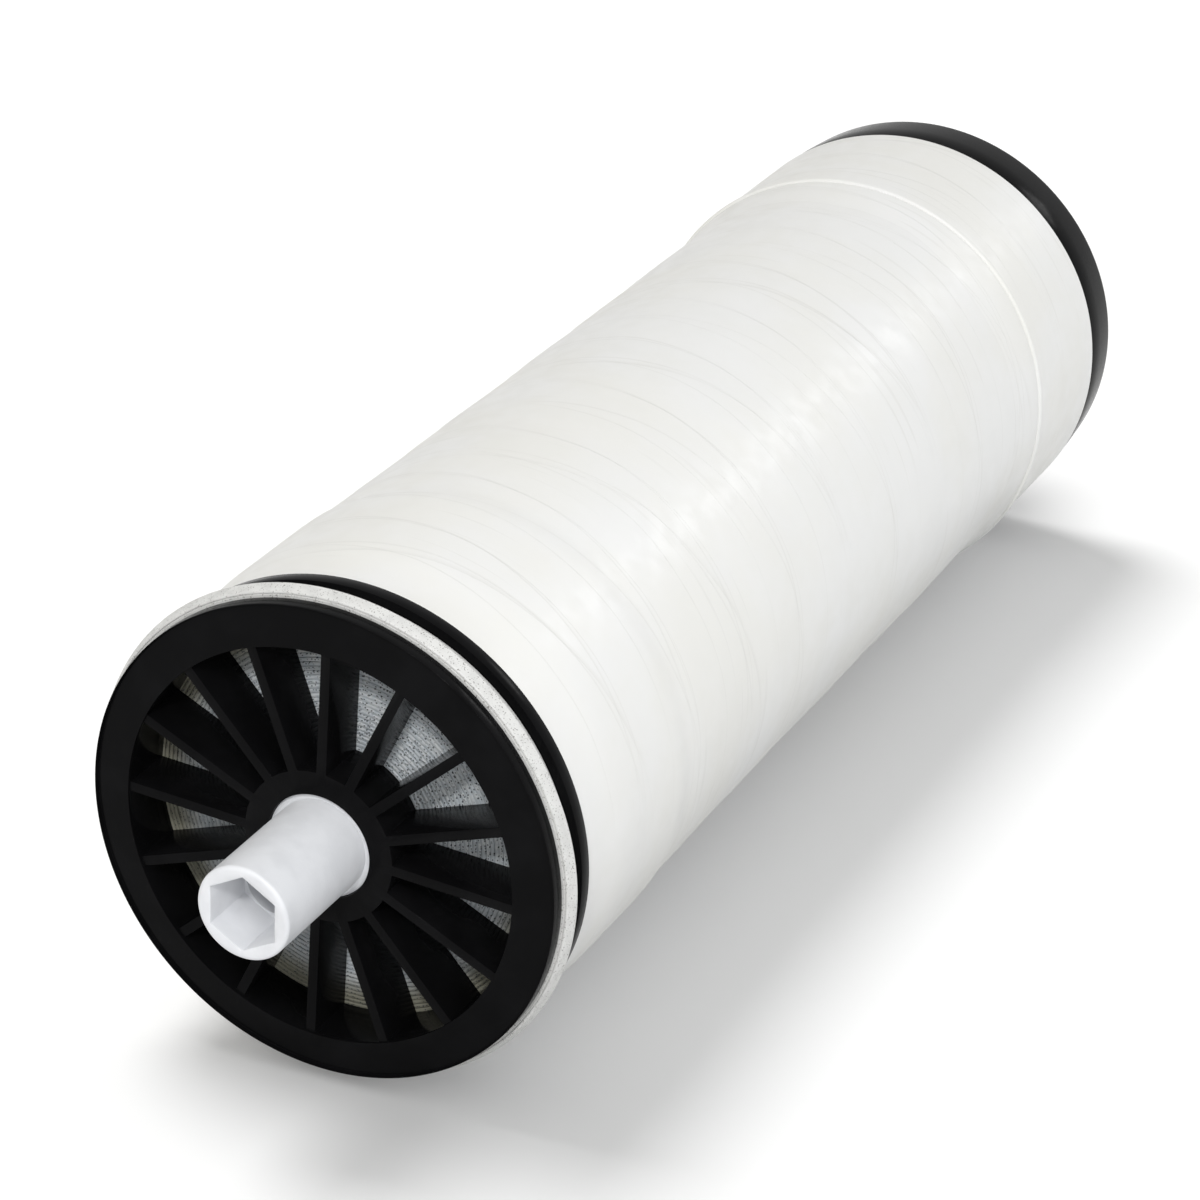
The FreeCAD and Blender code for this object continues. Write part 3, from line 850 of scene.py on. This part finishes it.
@dataclass
class EndCap:
    """Spoked black cap: rim with its outer section, hub, spokes and the sleeve round the roll."""

    node: str
    name: str
    end: End
    outside: list[tuple[float, float]]
    roundings: dict[int, float]
    rim_depth: float
    spokes: int = 16
    spoke_width: float = 2.0 * MM
    spoke_phase: float = math.radians(4.4)
    recess: float = 0.8 * MM
    web_depth: float = 12.2 * MM
    hub_bore: float = 10.8 * MM
    hub_radius: float = 15.6 * MM
    window_radius: float = 40.7 * MM
    pocket_radius: float = 44.3 * MM
    sleeve_radius: float = 45.7 * MM
    sleeve_length: float = 9.0 * MM
    window_sides: int = 12

    def face(self) -> float:
        """Return the station of the cap's outer face."""
        low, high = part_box(self.node)
        return low[1] if self.end is End.FEED else high[1]

    def station(self, depth: float) -> float:
        """Return the station of a point this far behind the outer face."""
        return self.face() + self.end.value * depth

    def columns(self, radius: float) -> list[float]:
        """Angles of the points round a circle: each spoke's middle and sides, and points across each window.

        Args:
            radius: Radius at which the spokes' sides meet the circle.

        Returns:
            The angles, rising.
        """
        half = math.asin(self.spoke_width / 2 / radius)
        pitch = math.tau / self.spokes
        angles = []
        for spoke in range(self.spokes):
            middle = self.spoke_phase + spoke * pitch
            angles.append(middle)
            angles += [
                middle + half + (pitch - 2 * half) * side / self.window_sides
                for side in range(self.window_sides + 1)
            ]
        return angles

    def ring_of(self, name: str, section: list[tuple[float, float]], radius: float) -> bpy.types.Object:
        """Turn one closed part of the cap, with points where the spokes land.

        Args:
            name: Name of the part.
            section: Corners of its section, each a depth behind the outer face and a radius.
            radius: Radius at which the spokes land on it.

        Returns:
            The new object, in object mode.
        """
        places = [(self.station(depth), distance) for depth, distance in section]
        piece = start_ring(name, self.columns(radius), *places[0])
        draw_ring(places[0], places[1:] + places[:1])
        close_mesh()
        bpy.ops.object.mode_set(mode="OBJECT")
        return piece

    def land_spokes(self, piece: bpy.types.Object) -> None:
        """Open the hub and the rim where each spoke lands, and bridge each pair of openings.

        Args:
            piece: Hub and rim, joined, in object mode.
        """
        activate(piece)
        bpy.ops.object.mode_set(mode="EDIT")
        bpy.ops.mesh.select_mode(type="FACE")
        bpy.ops.mesh.select_all(action="DESELECT")
        mesh = bmesh.from_edit_mesh(piece.data)
        low, high = sorted((self.station(self.recess), self.station(self.web_depth)))
        pitch = math.tau / self.spokes
        for face in mesh.faces:
            centre = face.calc_center_median()
            radius = math.hypot(centre.x, centre.z)
            on_wall = any(abs(radius - r) < 0.03 * MM for r in (self.hub_radius, self.window_radius))
            if not on_wall or not low < centre.y < high or abs(face.normal.y) > 0.5:
                continue
            off = (angle_of(centre.x, centre.z) - self.spoke_phase + pitch / 2) % pitch - pitch / 2
            if abs(off) * radius < self.spoke_width / 2:
                face.select_set(True)
        bpy.ops.mesh.delete(type="FACE")
        bpy.ops.mesh.select_mode(type="EDGE")
        for spoke in range(self.spokes):
            bpy.ops.mesh.select_all(action="DESELECT")
            mesh = bmesh.from_edit_mesh(piece.data)
            angle = self.spoke_phase + spoke * pitch
            along = Vector((math.sin(angle), math.cos(angle)))
            across = Vector((math.cos(angle), -math.sin(angle)))
            for edge in (e for e in mesh.edges if e.is_boundary):
                ends = [Vector((v.co.x, v.co.z)) for v in edge.verts]
                if all(abs(p @ across) < self.spoke_width * 0.6 and p @ along > 0 for p in ends):
                    edge.select_set(True)
            bmesh.update_edit_mesh(piece.data)
            bpy.ops.mesh.bridge_edge_loops()
        close_mesh()
        bpy.ops.object.mode_set(mode="OBJECT")

    def build(self, finish: bpy.types.Material) -> None:
        """Build the cap.

        Args:
            finish: Material of the cap.
        """
        sleeve_end = self.rim_depth + self.sleeve_length
        rim = rounded(self.outside, self.roundings, 8) + [
            (sleeve_end, self.sleeve_radius),
            (sleeve_end, self.pocket_radius),
            (self.web_depth, self.pocket_radius),
            (self.web_depth, self.window_radius),
            (self.recess, self.window_radius),
            (0.0, self.window_radius),
        ]
        hub = [
            (self.recess, self.hub_bore),
            (self.recess, self.hub_radius),
            (self.web_depth, self.hub_radius),
            (self.web_depth, self.hub_bore),
        ]
        ring = self.ring_of(self.name, rim, self.window_radius)
        core = self.ring_of("hub", hub, self.hub_radius)
        activate(ring)
        core.select_set(True)
        bpy.ops.object.join()
        self.land_spokes(ring)
        bevel_edges(ring, 0.2 * MM, 2, 40)
        smooth_piece(ring)
        hand_over(ring, self.node, finish)


# ---- the brine seal ----


@dataclass
class BrineSeal:
    """Rubber ring in the cap's groove: base, front wall with a fine line round it, and flared lip."""

    node: str = "brine_seal"
    base_top: float = 47.1 * MM
    wall: float = 1.7 * MM
    lip_front: float = 49.9 * MM
    lip_end: float = 50.8 * MM
    lip_width: float = 2.4 * MM
    lip_thickness: float = 1.0 * MM
    line_radius: float = 49.35 * MM
    line_width: float = 0.16 * MM
    line_depth: float = 0.22 * MM
    sides: int = 240

    def build(self, finish: bpy.types.Material) -> None:
        """Build the seal.

        Args:
            finish: Material of the seal.
        """
        low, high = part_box(self.node)
        front, back = low[1], high[1]
        floor = 45.7 * MM
        section = [
            (front, floor),
            (back, floor),
            (back, self.base_top),
            (front + self.wall, self.base_top),
            (front + self.wall, self.lip_front - self.lip_thickness),
            (front + self.lip_width, self.lip_end - self.lip_thickness),
            (front + self.lip_width, self.lip_end),
            (front, self.lip_front),
            (front, self.line_radius + self.line_width),
            (front + self.line_depth, self.line_radius),
            (front, self.line_radius - self.line_width),
        ]
        section = rounded(section, {2: 0.4 * MM, 6: 0.3 * MM, 7: 0.28 * MM}, 4)
        piece = turn_piece("pale_brine_seal", section, self.sides)
        bpy.ops.object.mode_set(mode="OBJECT")
        smooth_piece(piece, 40)
        hand_over(piece, self.node, finish)


# ---- the membrane roll ----


@dataclass
class MembraneRoll:
    """Rolled leaves: the body of the roll, and the cut edge of every turn standing on each end of it."""

    node: str = "membrane_roll"
    inner: float = 10.7 * MM
    pitch: float = 0.905 * MM
    leaf: float = 0.76 * MM
    stand: float = 0.5 * MM
    steps: int = 90

    def leaf_edges(self, name: str, station: float, outward: float, outer: float) -> bpy.types.Object:
        """Wind the cut edge of the leaves into a spiral on one end of the roll.

        Args:
            name: Name of the part.
            station: Station of the leaves' cut edges.
            outward: Direction along the axis that leads out of the roll, 1 or -1.
            outer: Radius of the roll.

        Returns:
            The closed strip, in object mode.
        """
        turns = (outer - self.inner - self.pitch) / self.pitch
        count = int(turns * self.steps)
        clear_selection()
        bpy.ops.mesh.primitive_grid_add(x_subdivisions=count, y_subdivisions=4, size=1.0)
        piece = bpy.context.object
        piece.name = piece.data.name = name
        across = (-0.5, -0.32, 0.0, 0.32, 0.5)
        heights = (0.45, 0.12, 0.0, 0.12, 0.45)
        for vertex in piece.data.vertices:
            run = (vertex.co.x + 0.5) * turns
            row = round((vertex.co.y + 0.5) * 4)
            angle = run * math.tau
            waver = noise.noise(Vector((run * 9.0, 3.7, outward))) * 0.07 * MM
            radius = self.inner + self.pitch * (run + 0.5) + across[row] * self.leaf + waver
            sink = heights[row] * self.leaf * 0.4
            sink += abs(noise.noise(Vector((run * 40.0, row * 0.3, 11.0)))) * 0.22 * MM
            vertex.co = (radius * math.sin(angle), station - outward * sink, radius * math.cos(angle))
        bpy.ops.object.mode_set(mode="EDIT")
        bpy.ops.mesh.select_all(action="SELECT")
        bpy.ops.mesh.extrude_region_move(
            TRANSFORM_OT_translate={"value": (0, -outward * (self.stand + 0.4 * MM), 0)}
        )
        close_mesh()
        bpy.ops.object.mode_set(mode="OBJECT")
        return piece

    def build(self, finish: bpy.types.Material) -> None:
        """Build the roll.

        Args:
            finish: Material of the roll.
        """
        low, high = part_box(self.node)
        outer = high[0]
        near, far = low[1], high[1]
        core = [
            (near + self.stand, self.inner),
            (near + self.stand, outer - 0.5 * self.pitch),
            (near, outer - 0.5 * self.pitch),
            (near, outer),
            (far, outer),
            (far, outer - 0.5 * self.pitch),
            (far - self.stand, outer - 0.5 * self.pitch),
            (far - self.stand, self.inner),
        ]
        piece = turn_piece("rolled_leaves", core, 160)
        bpy.ops.object.mode_set(mode="OBJECT")
        ends = [
            self.leaf_edges("feed_leaf_edges", near, -1.0, outer),
            self.leaf_edges("brine_leaf_edges", far, 1.0, outer),
        ]
        activate(piece)
        for part in ends:
            part.select_set(True)
        bpy.ops.object.join()
        smooth_piece(piece, 50)
        hand_over(piece, self.node, finish)


# ---- the tape ----


@dataclass(frozen=True)
class TapeEdge:
    """Edge of one lap of tape: where it crosses the top line, how it slants and how far round it shows."""

    station: float
    slant: float
    start: float
    end: float
    height: float


@dataclass
class TapeWrap:
    """Tape wound over the roll and the caps' sleeves, with its laps, its swelling and its unevenness."""

    node: str = "outer_wrap"
    sleeve_radius: float = 45.7 * MM
    roll_radius: float = 44.2 * MM
    wrap_radius: float = 48.1 * MM
    sleeve_length: float = 9.0 * MM
    swell_start: float = 4.8 * MM
    swell_rise: float = 12.0 * MM
    swell_land: float = 21.0 * MM
    swell_fall: float = 4.0 * MM
    swell_height: float = 0.85 * MM
    sides: int = 320
    cuts: int = 236
    edges: tuple[TapeEdge, ...] = (
        TapeEdge(23.5, 0.0, -180, 180, 0.10),
        TapeEdge(41.5, 0.4, -180, 180, 0.14),
        TapeEdge(48.5, -0.8, -180, 180, 0.12),
        TapeEdge(60.8, 0.0, -180, 180, 0.16),
        TapeEdge(71.6, -5.6, -70, 75, 0.12),
        TapeEdge(97.4, 0.5, -180, 180, 0.12),
        TapeEdge(116.0, 8.7, -60, 80, 0.13),
        TapeEdge(121.5, 6.5, -10, 95, 0.10),
        TapeEdge(148.0, -1.0, -180, 180, 0.12),
        TapeEdge(151.5, 16.0, -60, 30, 0.09),
        TapeEdge(174.0, 2.2, -180, 180, 0.12),
        TapeEdge(200.6, -1.5, -180, 180, 0.12),
    )

    def height_at(self, depth: float, angle: float) -> float:
        """Height of the laps' edges over the plain wrap.

        Args:
            depth: Distance behind the feed end cap's face, in millimetres.
            angle: Angle about the axis, in radians.

        Returns:
            The height in metres.
        """
        total = 0.0
        degrees = math.degrees(angle)
        for edge in self.edges:
            behind = depth - (edge.station + edge.slant * angle)
            if not 0 < behind < 30:
                continue
            shown = 1.0
            if edge.end - edge.start < 360:
                shown = smooth_step(degrees, edge.start, edge.start + 15)
                shown *= 1 - smooth_step(degrees, edge.end - 15, edge.end)
            total += edge.height * shown * smooth_step(behind, 0, 0.9) * (1 - smooth_step(behind, 8, 30))
        return total * MM

    def profile(self, station: float, near: float) -> float:
        """Radius of the plain wrap at a station.

        Args:
            station: Station along the axis.
            near: Station of the wrap's feed end.

        Returns:
            The radius in metres.
        """
        behind = station - near
        full = self.swell_start + self.swell_rise
        rise = smooth_step(behind, self.swell_start, full)
        fall = smooth_step(behind, full + self.swell_land, full + self.swell_land + self.swell_fall + 3 * MM)
        return self.wrap_radius + self.swell_height * rise * (1 - fall)

    def build(self, finish: bpy.types.Material) -> None:
        """Build the wrap.

        Args:
            finish: Material of the tape.
        """
        low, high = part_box(self.node)
        near, far = low[1], high[1]
        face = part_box("feed_end_cap")[0][1]
        clear_selection()
        bpy.ops.mesh.primitive_plane_add(size=1.0)
        piece = bpy.context.object
        piece.name = piece.data.name = "wound_tape_wrap"
        bpy.ops.object.mode_set(mode="EDIT")
        mesh = bmesh.from_edit_mesh(piece.data)
        for vertex in mesh.verts:
            vertex.select_set(vertex.co.x > 0)
        bmesh.update_edit_mesh(piece.data)
        bpy.ops.mesh.delete(type="VERT")
        bpy.ops.mesh.select_all(action="SELECT")
        bpy.ops.mesh.subdivide(number_cuts=self.cuts)
        mesh = bmesh.from_edit_mesh(piece.data)
        for vertex in mesh.verts:
            station = near + (vertex.co.y + 0.5) * (far - near)
            vertex.co = (0, station, self.profile(station, near))
        ends = sorted(mesh.verts, key=lambda v: v.co.y)
        inner = [
            (far, self.sleeve_radius),
            (far - self.sleeve_length, self.sleeve_radius),
            (far - self.sleeve_length, self.roll_radius),
            (near + self.sleeve_length, self.roll_radius),
            (near + self.sleeve_length, self.sleeve_radius),
            (near, self.sleeve_radius),
        ]
        last = ends[-1]
        for station, radius in inner:
            fresh = mesh.verts.new((0, station, radius))
            mesh.edges.new((last, fresh))
            last = fresh
        mesh.edges.new((last, ends[0]))
        bmesh.update_edit_mesh(piece.data)
        bpy.ops.mesh.select_all(action="SELECT")
        bpy.ops.mesh.spin(steps=self.sides, angle=math.tau, center=(0, 0, 0), axis=(0, 1, 0))
        close_mesh()
        bpy.ops.object.mode_set(mode="OBJECT")
        for vertex in piece.data.vertices:
            radius = math.hypot(vertex.co.x, vertex.co.z)
            if radius < self.wrap_radius - 0.5 * MM or not near + 0.3 * MM < vertex.co.y < far - 0.3 * MM:
                continue
            angle = angle_of(vertex.co.x, vertex.co.z)
            lift = self.height_at((vertex.co.y - face) / MM, angle)
            place = Vector((vertex.co.x, vertex.co.y * 0.7, vertex.co.z))
            lift += noise.noise(place * 38.0) * 0.2 * MM + noise.noise(place * 110.0) * 0.07 * MM
            limit = high[0] - 0.02 * MM
            scale = min(radius + lift, limit) / radius
            vertex.co.x *= scale
            vertex.co.z *= scale
        smooth_piece(piece, 40)
        hand_over(piece, self.node, finish)


@dataclass
class TapeBand:
    """Band of tape at the brine end: tapered start, bright rounded ridge and a smooth land up to the cap."""

    node: str = "brine_end_band"
    wrap_radius: float = 47.9 * MM
    land_radius: float = 49.4 * MM
    ridge_radius: float = 49.9 * MM
    rise: float = 14.0 * MM
    ridge_width: float = 1.5 * MM
    sides: int = 320

    def build(self, finish: bpy.types.Material) -> None:
        """Build the band.

        Args:
            finish: Material of the tape.
        """
        low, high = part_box(self.node)
        start, end = low[1], high[1]
        ridge = start + self.rise
        section = [(start, self.wrap_radius)]
        foot = self.land_radius - 0.15 * MM
        for step in range(1, 13):
            share = step / 12
            radius = self.wrap_radius + (foot - self.wrap_radius) * smooth_step(share, 0, 1)
            section.append((start + self.rise * share * 0.97, radius))
        for step in range(9):
            turn = math.pi * step / 8
            bead = self.ridge_radius - foot
            middle = ridge + self.ridge_width / 2
            section.append(
                (middle - self.ridge_width / 2 * math.cos(turn), foot + bead * math.sin(turn))
            )
        land_start = ridge + self.ridge_width + 0.4 * MM
        for step in range(25):
            share = step / 24
            radius = self.land_radius - 0.1 * MM * (1 - share)
            section.append((land_start + (end - land_start) * share, radius))
        section.append((end, self.wrap_radius))
        piece = turn_piece("tape_band", section, self.sides)
        bpy.ops.object.mode_set(mode="OBJECT")
        for vertex in piece.data.vertices:
            radius = math.hypot(vertex.co.x, vertex.co.z)
            if radius < self.wrap_radius + 0.2 * MM:
                continue
            angle = angle_of(vertex.co.x, vertex.co.z)
            lift = noise.noise(vertex.co * 45.0) * 0.07 * MM
            scale = min(radius + lift, self.ridge_radius) / radius
            vertex.co.x *= scale
            vertex.co.z *= scale
            if start + 4 * MM < vertex.co.y < end - 6 * MM:
                vertex.co.y += (math.sin(angle + 0.6) * 0.5 + math.sin(3 * angle) * 0.12) * MM
        smooth_piece(piece, 40)
        hand_over(piece, self.node, finish)


# ---- studio ----


@dataclass
class Studio:
    """Pale floor, white surroundings, soft lamps and the camera."""

    camera_place: tuple[float, float, float] = (0.3180, -0.5042, 0.3493)
    right: tuple[float, float, float] = (0.8983, 0.4394, 0.0)
    lens: float = 114.9
    key_towards: tuple[float, float, float] = (0.2555, -0.731, 0.632)
    sun_towards: tuple[float, float, float] = (-0.40, 0.16, 0.90)
    floor_gap: float = 0.02 * MM
    floor_glow: float = 0.15
    floor_bounce: float = 0.72

    def add_camera(self) -> None:
        """Place the camera and make it the scene's."""
        data = bpy.data.cameras.new("camera")
        data.lens = self.lens
        data.sensor_width = 36.0
        camera = bpy.data.objects.new("camera", data)
        bpy.context.scene.collection.objects.link(camera)
        right = Vector(self.right).normalized()
        up = Vector((-0.1914, 0.3912, 0.9002)).normalized()
        back = right.cross(up).normalized()
        up = back.cross(right).normalized()
        turn = camera.matrix_world.to_3x3()
        for index, axis in enumerate((right, up, back)):
            turn.col[index] = axis
        camera.matrix_world = turn.to_4x4()
        camera.location = self.camera_place
        data.clip_start = 0.01
        bpy.context.scene.camera = camera

    def add_floor(self, lowest: float) -> bpy.types.Object:
        """Lay the pale floor under the element.

        Args:
            lowest: Height of the element's lowest point.

        Returns:
            The floor.
        """
        clear_selection()
        bpy.ops.mesh.primitive_plane_add(size=6.0, location=(0, 0.2, lowest - self.floor_gap))
        floor = bpy.context.object
        floor.name = "floor"
        bpy.ops.object.transform_apply(location=True, rotation=True, scale=True)
        material = bpy.data.materials.new("pale_floor")
        material.use_nodes = True
        tree = material.node_tree
        tree.nodes.clear()
        output = tree.nodes.new("ShaderNodeOutputMaterial")
        paint = tree.nodes.new("ShaderNodeBsdfDiffuse")
        paint.inputs["Color"].default_value = (0.8, 0.8, 0.8, 1.0)
        dull = tree.nodes.new("ShaderNodeBsdfDiffuse")
        dull.inputs["Color"].default_value = (*(self.floor_bounce,) * 3, 1.0)
        glow = tree.nodes.new("ShaderNodeEmission")
        glow.inputs["Strength"].default_value = self.floor_glow
        bright = tree.nodes.new("ShaderNodeAddShader")
        tree.links.new(paint.outputs[0], bright.inputs[0])
        tree.links.new(glow.outputs[0], bright.inputs[1])
        shade = tree.nodes.new("ShaderNodeMixShader")
        tree.links.new(self.seen(tree, tree.nodes.new("ShaderNodeLightPath")), shade.inputs[0])
        tree.links.new(dull.outputs[0], shade.inputs[1])
        tree.links.new(bright.outputs[0], shade.inputs[2])
        tree.links.new(shade.outputs[0], output.inputs["Surface"])
        floor.data.materials.append(material)
        floor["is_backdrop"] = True
        return floor

    @staticmethod
    def seen(tree: bpy.types.NodeTree, path: bpy.types.Node) -> bpy.types.NodeSocket:
        """Return 1 for camera, glossy and transmission rays."""
        total = path.outputs["Is Camera Ray"]
        for name in ("Is Glossy Ray", "Is Transmission Ray"):
            largest = tree.nodes.new("ShaderNodeMath")
            largest.operation = "MAXIMUM"
            tree.links.new(total, largest.inputs[0])
            tree.links.new(path.outputs[name], largest.inputs[1])
            total = largest.outputs[0]
        return total

    def add_surroundings(self) -> None:
        """Give the world a white look and a plain soft light."""
        world = bpy.data.worlds.new("surroundings")
        bpy.context.scene.world = world
        world.use_nodes = True
        tree = world.node_tree
        tree.nodes.clear()
        output = tree.nodes.new("ShaderNodeOutputWorld")
        look = tree.nodes.new("ShaderNodeBackground")
        look.inputs["Strength"].default_value = 1.0
        look.inputs["Color"].default_value = (1, 1, 1, 1)
        sideways = tree.nodes.new("ShaderNodeMapRange")
        part = tree.nodes.new("ShaderNodeSeparateXYZ")
        tree.links.new(tree.nodes.new("ShaderNodeTexCoord").outputs["Generated"], part.inputs[0])
        tree.links.new(part.outputs[0], sideways.inputs["Value"])
        sideways.inputs["From Min"].default_value = -1.0
        tint = tree.nodes.new("ShaderNodeMix")
        tint.data_type = "RGBA"
        colours = [socket for socket in tint.inputs if socket.type == "RGBA"]
        colours[0].default_value = (0.50, 0.485, 0.445, 1)
        colours[1].default_value = (0.70, 0.715, 0.735, 1)
        tree.links.new(sideways.outputs["Result"], tint.inputs["Factor"])
        light = tree.nodes.new("ShaderNodeBackground")
        tinted = next(socket for socket in tint.outputs if socket.type == "RGBA")
        tree.links.new(tinted, light.inputs["Color"])
        shade = tree.nodes.new("ShaderNodeMixShader")
        path = tree.nodes.new("ShaderNodeLightPath")
        tree.links.new(self.seen(tree, path), shade.inputs[0])
        tree.links.new(light.outputs[0], shade.inputs[1])
        tree.links.new(look.outputs[0], shade.inputs[2])
        tree.links.new(shade.outputs[0], output.inputs["Surface"])

    def add_lamp(
        self, name: str, towards: tuple[float, float, float], distance: float, size: float, watts: float
    ) -> bpy.types.Object:
        """Hang one soft square lamp that faces the element.

        Args:
            name: Name of the lamp.
            towards: Direction from the element to the lamp.
            distance: Distance from the element's middle.
            size: Side of the lamp.
            watts: Power of the lamp.

        Returns:
            The lamp.
        """
        data = bpy.data.lights.new(name, "AREA")
        data.shape = "SQUARE"
        data.size = size
        data.energy = watts
        lamp = bpy.data.objects.new(name, data)
        bpy.context.scene.collection.objects.link(lamp)
        direction = Vector(towards).normalized()
        lamp.location = Vector((0, 0.15, 0)) + direction * distance
        lamp.rotation_euler = direction.to_track_quat("Z", "Y").to_euler()
        return lamp

    def add_overhead(self) -> bpy.types.Object:
        """Hang the wide overhead light that throws the element's shadow on the floor.

        Returns:
            The light.
        """
        data = bpy.data.lights.new("overhead_light", "SUN")
        data.angle = math.radians(28)
        data.energy = 2.1
        light = bpy.data.objects.new("overhead_light", data)
        bpy.context.scene.collection.objects.link(light)
        light.rotation_euler = Vector(self.sun_towards).normalized().to_track_quat("Z", "Y").to_euler()
        return light

    @staticmethod
    def limit(lamp: bpy.types.Object, name: str, lit: list[bpy.types.Object]) -> None:
        """Let a lamp light only some objects.

        Args:
            lamp: The lamp.
            name: Name of the group of lit objects.
            lit: The objects that it lights.
        """
        group = bpy.data.collections.new(name)
        for item in lit:
            group.objects.link(item)
        lamp.light_linking.receiver_collection = group

    def build(self, lowest: float) -> None:
        """Set up the whole studio.

        Args:
            lowest: Height of the element's lowest point.
        """
        bpy.context.scene.view_settings.view_transform = "Standard"
        self.add_camera()
        floor = self.add_floor(lowest)
        self.add_surroundings()
        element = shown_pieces()
        lamps = (
            ("key_lamp", self.key_towards, 1.6, 0.14, 8.0),
            ("side_lamp", (0.62, -0.62, 0.48), 1.5, 0.5, 3.2),
            ("top_lamp", (0.05, -0.55, 0.83), 1.5, 0.8, 3.4),
            ("back_lamp", (0.40, 0.80, 0.44), 1.5, 0.3, 1.3),
        )
        for name, towards, distance, size, watts in lamps:
            lamp = self.add_lamp(name, towards, distance, size, watts)
            self.limit(lamp, f"lit_by_{name}", element)
        self.limit(self.add_overhead(), "lit_from_overhead", [floor])
        log.info("studio ready")


def main() -> None:
    """Build every piece, then the studio."""
    black, white, tape = BlackPlastic().make(), WhitePlastic().make(), WoundTape().make()
    flange = 48.8 * MM
    sleeve = 45.7 * MM
    rim = 15.2 * MM
    feed_outside = [
        (0.0, flange), (4.0 * MM, flange), (4.0 * MM, sleeve),
        (12.2 * MM, sleeve), (12.2 * MM, flange), (rim, flange), (rim, sleeve),
    ]
    brine_outside = [
        (0.0, 48.4 * MM), (8.4 * MM, 49.0 * MM), (rim, 49.0 * MM), (rim, sleeve),
    ]
    PermeateTube().build(white)
    EndCap("feed_end_cap", "black_feed_end_cap", End.FEED, feed_outside, {0: 2.0 * MM}, rim).build(black)
    EndCap("brine_end_cap", "black_brine_end_cap", End.BRINE, brine_outside, {0: 1.6 * MM}, rim).build(black)
    BrineSeal().build(PaleRubber().make())
    MembraneRoll().build(LeafEdges().make())
    TapeWrap().build(tape)
    TapeBand().build(tape)
    Studio().build(FRAME_BOX[0][2])


if __name__ == "__main__":
    main()
